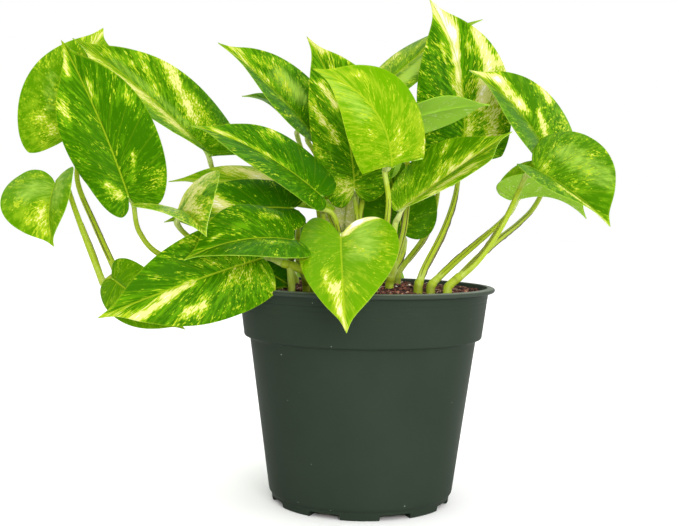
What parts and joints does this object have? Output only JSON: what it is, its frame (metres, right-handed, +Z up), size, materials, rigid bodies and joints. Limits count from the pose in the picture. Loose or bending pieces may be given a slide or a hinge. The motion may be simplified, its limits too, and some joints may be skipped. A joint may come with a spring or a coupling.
{
  "type": "potted golden pothos",
  "caption": "Trailing houseplant with heart-shaped variegated leaves on long stalks, rooted in a tapered plastic nursery pot that stands on its base.",
  "frame": {"origin": "centre of the pot's flat underside, on the pot's axis", "axes": "+Z up along the pot's axis, -Y towards the front of the plant, +X to the right as seen from the front"},
  "size_m": [0.3713, 0.243, 0.3211],
  "materials": {
    "pot": "satin moulded plastic, dark grey-green",
    "soil": "damp, crumbly, matt",
    "stems": "smooth, slightly waxy",
    "leaves": "waxy satin, green with cream and yellow-green streaks"
  },
  "bodies": {
    "root": {"pot": "pot", "soil": "soil", "cutting_trailing": "stems", "cutting_left": "stems", "cutting_left_back": "stems", "cutting_front_left": "stems", "cutting_front": "stems", "cutting_middle_left": "stems", "cutting_front_middle": "stems", "cutting_middle": "stems", "cutting_middle_right": "stems", "cutting_tall": "stems", "cutting_right": "stems", "cutting_far_right": "stems", "cutting_back_right": "stems", "cutting_back_left": "stems", "leaf_far_left_back": "leaves", "leaf_far_left_front": "leaves", "leaf_left_arch": "leaves", "leaf_left_heart": "leaves", "leaf_left_low": "leaves", "leaf_front_left": "leaves", "leaf_front_left_upper": "leaves", "leaf_left_shelf": "leaves", "leaf_left_small": "leaves", "leaf_mid_pale": "leaves", "leaf_mid_left": "leaves", "leaf_up_left": "leaves", "leaf_up_left_back": "leaves", "leaf_up_middle": "leaves", "leaf_bright": "leaves", "leaf_up_right_pale": "leaves", "leaf_tall": "leaves", "leaf_right_upper": "leaves", "leaf_mid_right": "leaves", "leaf_far_right": "leaves", "leaf_right_curled": "leaves", "leaf_front_heart": "leaves", "leaf_low_right": "leaves", "leaf_mid_behind": "leaves", "leaf_mid_underside": "leaves", "leaf_cream": "leaves", "leaf_rim_small": "leaves", "leaf_back_tall": "leaves", "leaf_back_left": "leaves", "leaf_back_low_left": "leaves", "leaf_back_low_right": "leaves", "leaf_back_middle": "leaves"}
  },
  "joints": []
}
